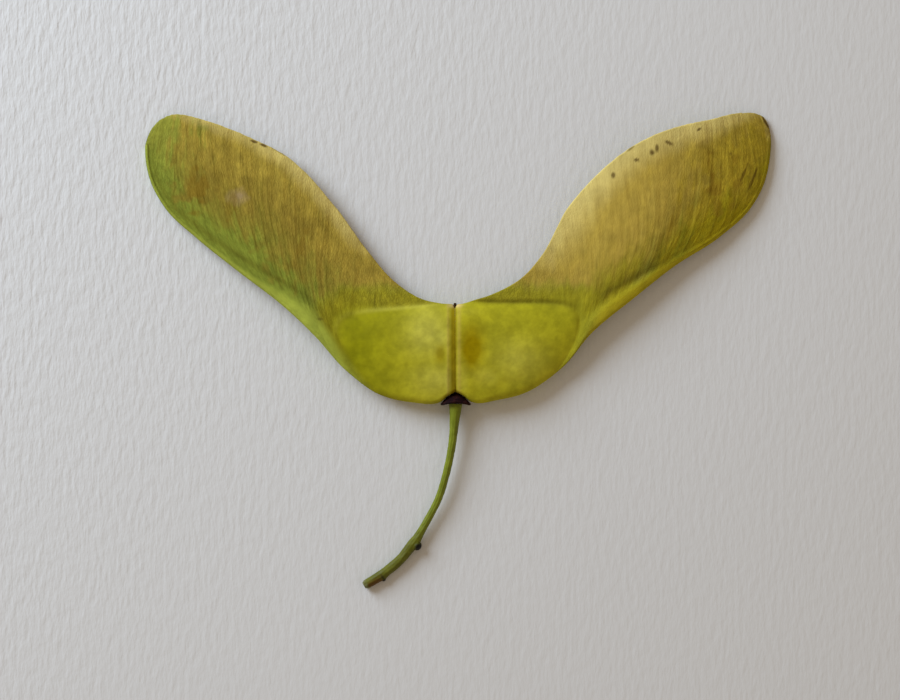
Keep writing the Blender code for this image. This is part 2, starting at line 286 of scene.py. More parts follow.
# The fruit wall's colours: the wing's sheet from green to tan with browner patches, its
# veins, margin and rib, and the yellow-green nutlets. Painted light and shade: part of the
# sand and the olive beside the fold, the line at the rib's foot, and the nutlets' glow,
# hollow and outline lines
wallLook = {
    "leaf": tint(140, 150, 54),
    # the wing's own olive near the rib, and past the fold partly painted shade
    "oliveAndShade": tint(149, 138, 21),
    "neck": tint(164, 152, 34),
    "tan": tint(176, 152, 60),
    "rust": tint(146, 124, 46),
    "brown": tint(136, 106, 28),
    "pale": tint(226, 206, 124),
    # partly the wing's pale tan, partly painted light on the side of the fold that faces the lamp
    "sandAndLight": tint(212, 182, 84),
    "amber": tint(179, 155, 14),
    "lilac": tint(176, 150, 110),
    # the veins' dark colour, also used for the painted shade at the rib's foot and in the outline's groove
    "veinDark": tint(98, 90, 22),
    "rib": tint(184, 195, 76),
    "gold": tint(198, 184, 40),
    "nutlet": tint(176, 170, 34),
    # painted highlight, on the nutlet and on its outline's ridge
    "glow": tint(214, 208, 90),
    "end": tint(140, 138, 12),
    "hollow": tint(156, 136, 2),
    # painted shade in the nutlet's dimple
    "cream": tint(226, 196, 146),
    "seam": tint(140, 120, 6),
    "lip": tint(190, 166, 74),
    "spot": tint(80, 54, 16),
    # noises: repeats over a samara's length and width, or a metre; detail, roughness, distortion
    "streaks": ((135, 22, 1), "UV", 6, 0.62, 1.2),
    "fineStreaks": ((380, 30, 1), "UV", 4, 0.6),
    "blotches": ((50, 14, 1), "UV", 4),
    "mottle": ((620, 620, 620), "Object", 5, 0.6),
    "cloud": ((260, 260, 260), "Object", 3),
    "net": ((210, 40, 1), "UV"),
    # how far each one darkens and lightens
    "blotchShade": (0.83, 1.16),
    "streakShade": (0.87, 1.12),
    "fineShade": (0.95, 1.05),
    "cloudShade": (0.89, 1.10),
    "nutletShade": (0.91, 1.07),
    "mottleShade": (0.88, 1.10),
    # the net's lines as distances from a border with their shares, and its bumps
    "netLine": (0.0, 0.12, 0.16, 0.0),
    "netBump": (0.0, 0.16),
    "calming": 0.7,
    "roughness": (0.50, 0.68),
    "specular": 0.04,
    # heights of the bumps, in millimetres
    "streakRelief": 0.06,
    "netRelief": 0.02,
    "mottleRelief": 0.04,
}


def wallMaterial():
    # layers of colour: the sheet with its streaks and net, its veins, margin and marks, then
    # the rib, then the nutlet where the field "lens" says, then its outline and the spots
    look = wallLook
    made = Nodes("Fruit wall")
    labels = ("streaks", "fineStreaks", "blotches", "mottle", "cloud")
    streaks, fineStreaks, blotches, mottle, cloud = [made.noise(*look[label]) for label in labels]
    net = made.borders(*look["net"])
    calm, lens = made.field("calm"), made.field("lens")
    lively = made.sums("SUBTRACT", 1.0, lens)
    lively = made.sums("SUBTRACT", lively, made.sums("MULTIPLY", calm, look["calming"]))
    netLines = made.sums("MULTIPLY", made.span(net, *look["netLine"]), lively)

    def laid(colour, *fields):
        # a colour with those fields laid over it in turn, each in the colour of its own name
        for label in fields:
            colour = made.over(colour, look[label], made.field(label))
        return colour

    plain = laid(look["leaf"], "tan", "neck", "oliveAndShade", "rust", "amber")
    plain = made.shaded(plain, blotches, *look["blotchShade"])
    streaked = made.shaded(plain, streaks, *look["streakShade"])
    streaked = made.shaded(streaked, fineStreaks, *look["fineShade"])
    colour = made.over(streaked, plain, calm)
    # the net's lines, the painted shade at the rib's foot and the veins, in the veins' dark colour
    for share in (netLines, made.field("ribFootShade"), made.field("vein")):
        colour = made.over(colour, look["veinDark"], share)
    colour = laid(colour, "sandAndLight", "pale", "lilac", "brown")
    colour = made.over(colour, laid(look["rib"], "gold"), made.field("rib"))
    nutlet = laid(look["nutlet"], "end", "glow", "hollow", "lip", "seam", "cream")
    nutlet = made.shaded(nutlet, cloud, *look["cloudShade"])
    nutlet = made.shaded(nutlet, mottle, *look["nutletShade"])
    colour = made.over(colour, nutlet, lens)
    # painted highlight on the outline's ridge, then painted shade in its groove
    colour = made.over(colour, look["glow"], made.field("ridge"))
    colour = made.over(colour, look["veinDark"], made.field("crease"))
    colour = laid(made.shaded(colour, mottle, *look["mottleShade"]), "spot")

    netBumps = made.sums("MULTIPLY", made.span(net, *look["netBump"]), lively)
    bumps = made.relief(made.sums("MULTIPLY", streaks, lively), look["streakRelief"])
    bumps = made.relief(netBumps, look["netRelief"], bumps)
    bumps = made.relief(mottle, look["mottleRelief"], bumps)
    return made.dressed(colour, made.span(mottle, *roughSpan, *look["roughness"]), look["specular"], bumps)


# The two samaras. Lengths in millimetres; x is the distance out from the seam. Pairs of
# numbers that a comment doesn't explain are where something starts and where it is full.
samaraLook = {
    "columns": 430,
    "rows": 112,
    # how close the columns lie: everywhere, more at the seam with a width, more on the wing
    "columnWeight": (0.72, 2.2, 0.016, 0.30, 0.2, 0.3),
    # how close the rows lie: everywhere, more at the leading and the trailing edge, their width
    "rowWeight": (0.8, 1.0, 1.2, 0.05),
    "seamGap": 0.01,
    "sheetHalf": 0.13,
    # share that the sheet loses, and across where
    "sheetThins": (0.25, 0.6, 1),
    # radius of the rim at the foot, at the nutlet and on the wing, x and along where it changes
    "edgeRound": (0.50, 0.85, 0.28),
    "footEnd": (1.5, 5.0),
    "wingStart": (0.12, 0.60),
    "roundPower": 2.6,
    "blendPower": 2.2,
    "nutletHalfThick": 1.76,
    "nutletSquare": 1.9,
    # how full the dome is, at its body and its outer end, and x where that changes
    "nutletFull": (0.56, 0.72),
    "outerEnd": (8, 14),
    "nutletReach": 10.4,
    "leastFall": 0.08,
    # the groove at the seam: depth, width, share of it below, y where it is full
    "seamDip": (0.13, 0.65),
    "dipBelow": (0.45, -4.0, 0.0),
    # the rib's height and width, at its root and at the tip
    "ribHalf": (0.72, 0.32),
    "ribWidth": (1.8, 0.45),
    "ribFall": (0.6, 1.4),
    "ribTaper": (0.33, 0.85),
    "sweep": 0.9,
    "sweepRoot": (0.10, 0.36),
    "skewEnd": (0.60, 1.0),
    "arm": 0.34,
    "lean": math.radians(18),
    "waveHeight": 0.26,
    "waveRoot": (0.20, 0.45),
    # noise of the sheet's height: strength, bends along and across, distance from the rib
    "buckle": (0.10, 42, 3.2, 0.8, 3.0),
    # noise of the trailing edge: strength, bends, power by which it fades away from the edge
    "edgeWander": (0.07, 70, 8),
    "wanderRoot": (0.2, 0.3),
    # the fold: how far in it bends and across where, its two flanks' widths, across where it is
    "foldBend": (0.05, 0.36, 0.54),
    "foldFlanks": (0.16, 0.06),
    "foldAcross": (0.22, 0.36, 0.55, 0.84),
    # where the sheet starts: by the lens, by the rib's height and along
    "sheetByLens": (0.02, 0.30),
    "sheetByRib": (0.10, 0.40),
    "sheetAlong": (0.1, 0.16),
    # the nutlet's outline: width, and where it comes in by x and by y
    "outlineWidth": 0.30,
    "outlineX": (0.3, 2.0),
    "outlineY": (0.5, 3.0),
    # the nutlet's skin: strength, bends a millimetre, thickness of lens where it shows
    "skin": (0.05, 0.8, 0.3, 1.0),
    "seamRound": (0.015, 0.14),
    "hollowByThick": (0.4, 1.2),
    "leastAbove": 0.02,
    "calmHeight": 0.6,
    "veinsBelow": 0.8,
    "edgeSamples": 900,
}
# Each noise's own seed, which is added to its samara's
seeds = {
    "edge": 5, "veins": 21, "buckle": 31, "skin": 41, "streak": 51, "broad": 57,
    "rust": 61, "brown": 66, "lilac": 71, "spot": 81, "patches": 91, "dashes": 97,
}
# Veins: a wander in gaps with its bends a gap and across; forks with their height, width as
# a share of a vein's, and how far across they take to settle and to come in
veinLook = {
    "count": 34,
    "spare": 3,
    "halfWidth": 0.095,
    "weakest": 0.35,
    "height": 0.040,
    "wander": (0.55, 0.45, 3.5),
    "forkFrom": (0.16, 0.46),
    "secondForkFrom": (0.50, 0.78),
    "fork": (0.75, 0.85, 0.22, 0.05),
    "secondFork": (0.50, 0.7, 0.16, 0.04),
    # the links: how many across, height, half width, slant, and across where they come in
    "links": 11,
    "link": (0.30, 0.09, 0.6, 0.2, 0.4),
    "fadeLeading": (0.3, 1.2),
    "fadeTrailing": (0.10, 0.9),
    # painted veins break into dashes: bends a gap and across, where the noise shows
    "dash": (1.3, 8, -0.20, 0.55),
}
leftHalf = {
    "node": "samara_left",
    "out": -1,
    "seed": 11,
    "stations": (
        (0.00, -5.06, 0.00, 5.05),
        (0.50, -5.34, 0.24, 5.44),
        (1.00, -5.64, 0.90, 5.53),
        (1.45, -6.06, 1.45, 5.56),
        (2.05, -6.35, 2.10, 5.66),
        (5.20, -6.28, 4.30, 6.25),
        (9.00, -5.36, 7.40, 8.35),
        (12.84, -2.64, 10.40, 11.80),
        (16.68, 1.56, 14.30, 17.15),
        (21.00, 5.60, 19.50, 22.75),
        (26.30, 9.65, 25.30, 25.85),
        (31.10, 13.50, 30.20, 27.65),
        (34.70, 16.90, 33.70, 28.35),
        (36.50, 20.05, 35.60, 27.60),
        (37.15, 22.70, 36.75, 26.10),
        (37.25, 24.45, 37.25, 24.45),
    ),
    "skew": 0.20,
    "half": (6.15, 7.4),
    "length": 14.3,
    "low": -0.60,
    "from": 4.0,
    "rise": 3.1,
    "blunt": 2.1,
    "dimple": (1.7, -0.6, 0.08, 0.6, 1.0),
    "lip": (0.85, 0.05, 0.22),
    # the dark line at the seam and the light one beside it: reach and share, place, width, share
    "seam": (0.70, 0.90, 0.84, 0.16, 0.60),
    "outline": 0.10,
    "lineEnd": (9.5, 12.5),
    # along where the rib rises out of the nutlet
    "ribRoot": (0.21, 0.34),
    "fold": (0.5, 0.0),
    "heights": ((0, 1.70), (0.24, 1.70), (0.46, 1.95), (0.70, 1.42), (0.88, 0.55), (0.96, 0.20), (1, 0.17)),
    "crown": 0.55,
    "tilt": -0.15,
    "waves": 2.6,
    "waveStart": 0.35,
    # across where the tan starts and is full, and how far it draws back towards the tip
    "tan": (0.34, 0.76, 0.12),
    # along where it starts to go towards the tip, and where it has gone
    "tanPlaces": (0.72, 0.88),
    # the green neck over the nutlet: distance out from the lens where it ends
    "neck": (1.2, 2.8),
    "tanAtTip": 0.25,
    "rust": (0.30, 0.42, 0.72, 0.86, 0.55),
    "oliveAndShade": 0.0,
    "gold": 0.0,
    "veinDark": 0.60,
    # the dark line inside the rib's light band, painted shade at the rib's foot: along and
    # distance inwards; the band's width as a share of that distance, how much it loses, and along
    # where; and where it comes in
    "ribLine": ((0.26, 2.1), (0.40, 2.9), (0.52, 2.15), (0.74, 1.25), (0.92, 0.8)),
    "ribBand": (0.80, 0.38, 0.40, 0.68),
    "ribStart": (0.20, 0.33),
    "ribHeight": 1.0,
    "nearRib": 0.0,
    "ribDark": 0.38,
    # along where that painted shade comes in, is full, fades and is gone
    "ribFootShade": (0.34, 0.48, 0.86, 0.97),
    "calm": 0.0,
    "cast": 0.0,
    "amber": 0.0,
    # along where the shaded part near the rib starts and is full, and across how far up it goes;
    # this olive is partly the wing's own colour and partly painted shade past the fold
    "shade": (0.40, 0.60, 0.50),
    # the pale margin: along, width inwards, share
    "margin": (
        (0.20, 0.3, 0.0),
        (0.27, 1.6, 0.70),
        (0.44, 1.8, 0.72),
        (0.54, 1.5, 0.55),
        (0.70, 1.3, 0.55),
        (0.80, 0.8, 0.20),
        (0.86, 0.6, 0.05),
        (0.92, 0.3, 0.0),
        (1.0, 0.3, 0.0),
    ),
    # how much darker the nutlet's outer end is, and how much painted shade lies in the hollow
    "end": 1.0,
    "hollowPaint": 0.6,
    # painted highlights on the nutlet: x, y, half width, half height, strength
    "glow": (
        (3.2, 2.2, 2.4, 3.0, 0.85),
        (1.8, 1.6, 1.2, 1.6, 0.80),
        (2.4, -3.4, 2.6, 2.0, 0.60),
        (1.0, -3.4, 0.9, 1.8, 0.65),
        (1.0, 4.6, 1.6, 0.6, 0.15),
    ),
    # each mark: x, y, half length, half width, turn in degrees, strength, raggedness
    "marks": {
        "rust": (
            (30.2, 19.4, 2.0, 3.2, 65, 0.80, 1.0),
            (24.0, 17.2, 5.0, 2.4, 60, 0.50, 1.2),
            (19.4, 13.4, 2.2, 4.6, 20, 0.55, 1.2),
            (33.6, 23.2, 0.4, 1.6, 10, 0.60, 0.8),
        ),
        "brown": (
            (30.8, 18.8, 0.8, 2.2, 10, 0.60, 1.2),
            (31.4, 20.2, 0.5, 1.6, 10, 0.50, 1.0),
            (26.8, 17.2, 0.5, 1.3, 12, 0.35, 1.2),
            (18.4, 12.6, 0.4, 2.6, 20, 0.35, 1.2),
        ),
        "lilac": ((26.0, 18.2, 1.15, 1.05, 0, 0.42, 0.5), (25.8, 18.5, 0.55, 0.50, 0, 0.72, 0.4)),
        "spot": (
            (16.1, 3.7, 0.42, 0.14, 0, 0.6, 0.3),
            (24.10, 24.96, 0.50, 0.16, 19, 0.85, 0.5),
            (22.95, 24.52, 0.50, 0.17, 22, 0.85, 0.5),
            (21.0, 23.72, 1.30, 0.10, 32, 0.45, 0.5),
        ),
    },
}
rightHalf = {
    "node": "samara_right",
    "out": 1,
    "seed": 47,
    "stations": (
        (0.00, -5.02, 0.00, 5.05),
        (0.60, -5.30, 0.24, 5.44),
        (1.15, -5.62, 0.90, 5.55),
        (1.62, -6.03, 1.45, 5.70),
        (2.25, -6.31, 2.10, 5.92),
        (5.20, -5.98, 4.30, 6.62),
        (8.64, -5.04, 7.60, 8.35),
        (12.60, -2.34, 10.35, 11.30),
        (16.32, 1.98, 13.60, 17.20),
        (21.24, 6.06, 19.20, 23.00),
        (26.40, 10.10, 24.70, 26.15),
        (31.92, 13.68, 30.66, 27.70),
        (35.48, 17.00, 34.20, 28.50),
        (37.20, 20.20, 36.40, 28.35),
        (37.86, 23.20, 37.50, 27.45),
        (37.92, 25.40, 37.92, 25.40),
    ),
    "skew": 0.14,
    "half": (6.10, 7.4),
    "length": 15.0,
    "low": -0.30,
    "from": 3.0,
    "rise": 2.8,
    "blunt": 2.3,
    "dimple": (2.1, 0.3, 0.28, 1.35, 2.3),
    "lip": (0.50, 0.03, 0.30),
    "seam": (0.22, 0.80, 0.48, 0.24, 0.62),
    "outline": -0.10,
    "lineEnd": (12.0, 15.5),
    "ribRoot": (0.24, 0.40),
    "fold": (0.590, 0.16),
    "heights": ((0, 1.70), (0.24, 1.70), (0.46, 2.20), (0.70, 1.75), (0.88, 0.68), (0.96, 0.20), (1, 0.17)),
    "crown": 0.70,
    "tilt": 0.35,
    "waves": 2.2,
    "waveStart": 0.10,
    "tan": (0.02, 0.50, 0.20),
    "tanPlaces": (0.98, 1.30),
    "neck": (1.0, 2.4),
    "tanAtTip": 1.0,
    "rust": (0.60, 0.72, 1.10, 1.30, 0.30),
    "oliveAndShade": 0.85,
    "gold": 1.0,
    "veinDark": 0.42,
    "ribLine": ((0.30, 2.6), (0.42, 2.6), (0.52, 1.9), (0.62, 1.15), (0.80, 0.9)),
    "ribBand": (0.75, 0.45, 0.62, 0.76),
    "ribStart": (0.30, 0.46),
    "ribHeight": 0.68,
    "nearRib": 0.85,
    "ribDark": 0.55,
    "ribFootShade": (0.34, 0.44, 0.56, 0.74),
    "calm": 0.9,
    "cast": 0.42,
    "amber": 0.50,
    "shade": (0.55, 0.67, 0.58),
    "margin": (
        (0.20, 0.3, 0.0),
        (0.25, 2.0, 0.75),
        (0.34, 3.6, 0.95),
        (0.46, 3.2, 0.95),
        (0.58, 3.0, 0.95),
        (0.70, 2.6, 0.90),
        (0.80, 1.7, 0.70),
        (0.90, 0.6, 0.30),
        (1.0, 0.4, 0.2),
    ),
    "end": 0.15,
    "hollowPaint": 1.0,
    "glow": (
        (7.6, -1.2, 3.2, 2.4, 0.50),
        (3.8, -3.0, 1.8, 1.2, 0.35),
        (0.9, -3.2, 0.7, 2.0, 0.30),
        (0.8, 4.6, 2.0, 0.5, 0.15),
    ),
    "marks": {
        "rust": ((30.6, 20.6, 1.2, 3.4, 0, 0.45, 1.2), (35.0, 21.5, 2.0, 4.0, 10, 0.45, 1.2)),
        "brown": (
            (30.9, 20.1, 0.60, 2.2, 6, 0.60, 1.5),
            (31.5, 17.4, 0.45, 1.3, 4, 0.55, 1.4),
            (29.8, 23.1, 0.50, 1.8, 8, 0.22, 1.4),
            (33.6, 23.3, 0.50, 0.6, 0, 0.45, 1.4),
            (33.8, 19.6, 0.36, 2.2, -14, 0.40, 1.5),
        ),
        "lilac": (),
        "spot": (
            (18.85, 20.9, 0.26, 0.34, 0, 0.75, 0.7),
            (21.70, 22.7, 0.34, 0.17, 0, 0.80, 0.5),
            (23.55, 23.6, 0.34, 0.40, 20, 0.85, 0.3),
            (24.15, 24.1, 0.22, 0.40, 0, 0.75, 0.5),
            (25.50, 24.8, 0.55, 0.20, -25, 0.75, 0.7),
            (29.2, 26.4, 0.30, 0.14, 30, 0.8, 0.6),
            (21.0, 24.1, 0.50, 0.14, 35, 0.6, 0.6),
            (37.3, 27.3, 0.95, 0.13, -59, 0.8, 0.5),
            (34.7, 21.4, 0.17, 1.5, -22, 0.6, 0.8),
            (35.7, 20.5, 0.15, 1.8, -22, 0.6, 0.8),
            (33.0, 23.5, 0.14, 0.2, 0, 0.6, 0.6),
        ),
    },
}


# Where the colours lie: pairs as above, shares, and how far streaky noise frays an edge
paintLook = {
    # the streaky noise: strength and bends along and across; a broad one, its bends a millimetre
    "streak": (0.13, 60, 6),
    "broad": (0.10, 0.6),
    "patchBends": 0.55,
    "leastPatch": 0.6,
    "neckFray": 4,
    "neckShare": 0.85,
    "tanClimb": (0.45, 0.95),
    "tanFray": 1.5,
    "rustAcross": (0.38, 0.58, 0.66, 0.86),
    # shares of the margin's width where it fades, and what is left of it on the neck
    "marginEnds": (0.1, 1.3),
    "marginFray": 2.5,
    "marginOnNeck": 0.2,
    # the sand colour cast across, partly the wing's pale tan and partly painted light where the
    # sheet faces the lamp: from and full, then its middle along and width, and the share that
    # it loses past the fold, with half the way over which it does
    "castAcross": (0.38, 0.76),
    "castAlong": (0.44, 0.26),
    "castFray": 1.5,
    "pastFold": (0.55, 0.02),
    "amberFrom": (0.58, 0.74),
    "amberTo": (0.90, 0.98),
    "amberEdge": (0.6, 0.72, 0.92),
    "shadeSoft": 0.5,
    "shadeFray": 0.2,
    "ribEnds": (0.5, 1.15),
    "ribLost": (0.5, 0.55, 0.95),
    "ribEdgeWidth": 0.30,
    "nearRib": (2.4, 6.0),
    "nearRibFray": 4,
    "nearRibAlong": (0.29, 0.36, 0.48, 0.58),
    "goldAlong": (0.26, 0.46),
    # the calm part: across where it starts and is full, its middle along and width
    "calm": (0.25, 0.50, 0.44, 0.18),
    "calmVeins": 0.8,
    # distance in from the nutlet's outline where its colour starts and is full, each at its body
    # and at its outer end, and x where that changes
    "lensEnds": ((-0.6, -1.8), (0.5, 1.4)),
    "lensTurn": (8, 13),
    # lines at the outline, painted highlight on the ridge and painted shade in the groove: share,
    # distance inwards, width, x where they start and are full
    "ridge": (0.32, 0.05, 0.26, 1.0, 4.0),
    "crease": (0.6, -0.15, 0.30, 1.5, 4.0),
    "lineTop": (1.0, 4.0),
    "lineLost": 0.7,
    "endX": (3.5, 12.0),
    "leastEnd": 0.75,
    # painted shade in the hollow: its gain, and its share without patches and with them
    "hollow": (1.5, 0.5, 1.3),
    # share, then x, y, half width and half height
    "cream": (0.6, 0.3, 5.35, 0.55, 0.26),
    "seamSoft": 0.4,
    # ragged marks: bends of their noise a millimetre, and the shares of their size as they fade
    "markBends": 1.1,
    "markEnds": (0.55, 1.35),
}


def edgesOf(half, leadingAlong, trailingAlong):
    # points on the leading edge and points on the trailing edge
    stations = np.array(half["stations"])
    knots = lengthsAlong(stations)
    leading = smoothCurve(knots, stations[:, :2], leadingAlong)
    trailing = smoothCurve(knots, stations[:, 2:], trailingAlong)
    return leading, trailing


def planOf(half, along, across):
    # Points of the plan. Each line across is a Bezier curve that follows a vein: it leaves
    # along the leading edge, bends over and ends further out, on the trailing edge. Over the
    # nutlet it is straight.
    look = samaraLook
    root = eased(along, *look["sweepRoot"])
    shift = half["skew"] / 2 * root * (1 - eased(along, *look["skewEnd"]))
    leading, trailing = edgesOf(half, along - shift, along + shift)
    edgeWay = unit(np.gradient(leading[:, 0], axis=0))[:, None]
    width = np.linalg.norm(trailing - leading, axis=-1, keepdims=True)
    straight = unit(trailing - leading)
    squareTo = np.stack([-straight[..., 1], straight[..., 0]], -1)
    sweep = look["sweep"] * root[..., None]
    lean = look["lean"] * sweep
    startWay = straight * (1 - sweep) + edgeWay * sweep
    endWay = straight * np.cos(lean) + squareTo * np.sin(lean)
    nearLeading = leading + look["arm"] * width * startWay
    nearTrailing = trailing - look["arm"] * width * endWay
    v = across[..., None]
    points = (
        (1 - v) ** 3 * leading
        + 3 * (1 - v) ** 2 * v * nearLeading
        + 3 * (1 - v) * v**2 * nearTrailing
        + v**3 * trailing
    )
    # the trailing edge wanders a little inwards, by noise of its place
    depth, bends, power = look["edgeWander"]
    dent = depth * (grain(along * bends, along * 0, half["seed"] + seeds["edge"]) + 1)
    dent = dent * eased(along, *look["wanderRoot"])
    return points - straight * (dent * across**power)[..., None]


def distanceFrom(edge, points):
    # each point's distance from the nearest one of an edge's points, line by line
    return np.array([np.linalg.norm(line[:, None] - edge, axis=-1).min(-1) for line in points])


def rounded(distance, radius):
    # 0 at the rim, 1 from the radius inwards, rising as a squarish quarter round
    power = samaraLook["roundPower"]
    return (1 - (1 - np.clip(distance / radius, 0, 1)) ** power) ** (1 / power)


def spacingOf(along, points):
    # distance between two lines across, for a step of 1 along, square to those lines
    acrossStep = np.gradient(points, axis=1)
    alongStep = np.gradient(points, axis=0) / np.gradient(along, axis=0)[..., None]
    area = acrossStep[..., 0] * alongStep[..., 1] - acrossStep[..., 1] * alongStep[..., 0]
    return np.abs(area) / np.maximum(np.linalg.norm(acrossStep, axis=-1), 1e-6)


def foldBend(across):
    # how far in along the fold's line bends, near the leading edge
    depth, low, high = samaraLook["foldBend"]
    return depth * (1 - eased(across, low, high))


def bells(x, y, middleX, middleY, width, height):
    # a bell by x times a bell by y
    return bell(x, middleX, width) * bell(y, middleY, height)


def lensOf(half, x, y):
    # The nutlet's lens: thickest in its middle, along a line that curves up outwards, as
    # (1 - off^square - out^blunt)^full. Also the distance inwards from its outline, which
    # runs out past the edge below.
    look = samaraLook
    square, blunt = look["nutletSquare"], half["blunt"]
    line = half["low"] + half["rise"] * (np.maximum(x - half["from"], 0) / look["nutletReach"]) ** 2
    reach = np.where(y > line, *half["half"])
    off = np.abs(y - line) / reach
    out = np.maximum(x, 0) / half["length"]
    within = 1 - off**square - out**blunt
    fall = np.hypot(square * off ** (square - 1) / reach, blunt * out ** (blunt - 1) / half["length"])
    depth, width = look["seamDip"]
    least, low, high = look["dipBelow"]
    dip = 1 - depth * bell(x, 0, width) * between(least, 1, eased(y, low, high))
    full = between(*look["nutletFull"], eased(x, *look["outerEnd"]))
    thick = look["nutletHalfThick"] * np.clip(within, 0, 1) ** full * dip
    return thick, within / np.maximum(fall, look["leastFall"])


def ribOf(half, along, distance):
    # the leading edge's rib: full at the edge, and gone by its width inwards
    look = samaraLook
    taper = eased(along, *look["ribTaper"])
    fall = 1 - eased(distance / between(*look["ribWidth"], taper), *look["ribFall"])
    return half["ribHeight"] * between(*look["ribHalf"], taper) * fall * eased(along, *half["ribRoot"])


def middleOf(half, along, across):
    # height of the sheet's middle: the spine, and on the wing a crown, a tilt and waves
    knots, heights = np.array(half["heights"]).T
    spine = smoothCurve(knots, heights[:, None], along)[..., 0]
    onWing = eased(along, *samaraLook["waveRoot"]) * np.sqrt(1 - along)
    crown = half["crown"] * 4 * across * (1 - across)
    tilt = half["tilt"] * (2 * across - 1)
    turns = half["waves"] * along + half["waveStart"]
    wave = samaraLook["waveHeight"] * across**2 * np.sin(2 * np.pi * turns)
    return spine + onWing * (crown + tilt + wave)


def veinsOf(half, along, across, spacing, width, fromLeading, fromTrailing):
    # Veins as crests, 0 to 1. Main ones run along the lines across, wandering a little. In
    # each gap between them a fork leaves one side and settles in the middle, further out two
    # more do so beside it, and short links slant from vein to vein.
    look = veinLook
    entries = look["count"] + look["spare"]
    linkHeight, linkWidth, slant, linkFrom, linkFull = look["link"]
    rng = np.random.default_rng(half["seed"])
    strength = look["weakest"] + (1 - look["weakest"]) * rng.random(entries)
    side = rng.integers(0, 2, entries).astype(float)
    start = rng.uniform(*look["forkFrom"], entries)
    lateSide = rng.integers(0, 2, (2, entries)).astype(float)
    lateStart = rng.uniform(*look["secondForkFrom"], (2, entries))
    linkPlace = rng.random((entries, look["links"] + 2))
    linkSlant = rng.uniform(-slant, slant, (entries, look["links"] + 2))

    reach, bends, acrossBends = look["wander"]
    seed = half["seed"] + seeds["veins"]
    wander = reach * grain(along * look["count"] * bends, across * acrossBends, seed, 3)
    phase = along * look["count"] + wander + 1
    gap = np.floor(phase).astype(int)
    share = phase - gap
    pitch = spacing / look["count"]

    def crest(path, scale=1.0):
        # a bell of the distance from a path, which is a share of the gap
        return bell((share - path) * pitch, 0, look["halfWidth"] * scale)

    def forked(label, low, high, turned, begun):
        # a fork that leaves one side of a space and settles in its middle: path and crest
        height, wide, settles, comesIn = look[label]
        path = low + (high - low) * (turned + (0.5 - turned) * eased(across, begun, begun + settles))
        return path, height * crest(path, wide) * eased(across, begun, begun + comesIn)

    fork, forks = forked("fork", 0, 1, side[gap], start[gap])
    for number, (low, high) in enumerate(((0, fork), (fork, 1))):
        late = forked("secondFork", low, high, lateSide[number][gap], lateStart[number][gap])[1]
        forks = np.maximum(forks, late)
    step = across * look["links"]
    links = 0
    for shift in (0, 1):
        row = np.floor(step).astype(int) + shift
        middle = (row + linkPlace[gap, row] - 0.5 + linkSlant[gap, row] * (share - 0.5)) / look["links"]
        links = np.maximum(links, bell((across - middle) * width, 0, linkWidth))
    links = links * linkHeight * eased(across, linkFrom, linkFull)
    main = np.maximum(crest(0) * strength[gap], crest(1) * strength[gap + 1])
    faded = eased(fromLeading, *look["fadeLeading"]) * eased(fromTrailing, *look["fadeTrailing"])
    return np.maximum(np.maximum(main, forks), links) * faded


def marksOf(entries, x, y, seed):
    # ragged oval marks: x, y, half length, half width, turn in degrees, strength, raggedness
    bends = paintLook["markBends"]
    total = np.zeros_like(x)
    for number, (middleX, middleY, length, width, turn, strength, ragged) in enumerate(entries):
        angle = math.radians(turn)
        ahead = (x - middleX) * math.cos(angle) + (y - middleY) * math.sin(angle)
        beside = (y - middleY) * math.cos(angle) - (x - middleX) * math.sin(angle)
        distance = np.hypot(ahead / length, beside / width)
        distance = distance + ragged * grain(x * bends, y * bends, seed + 7 * number, 3)
        total = np.maximum(total, strength * (1 - eased(distance, *paintLook["markEnds"])))
    return total


def calmOf(half, along, across):
    # the part of a wing where the veins and streaks are faint
    low, high, middle, wide = paintLook["calm"]
    return half["calm"] * eased(across, low, high) * bell(along, middle, wide)


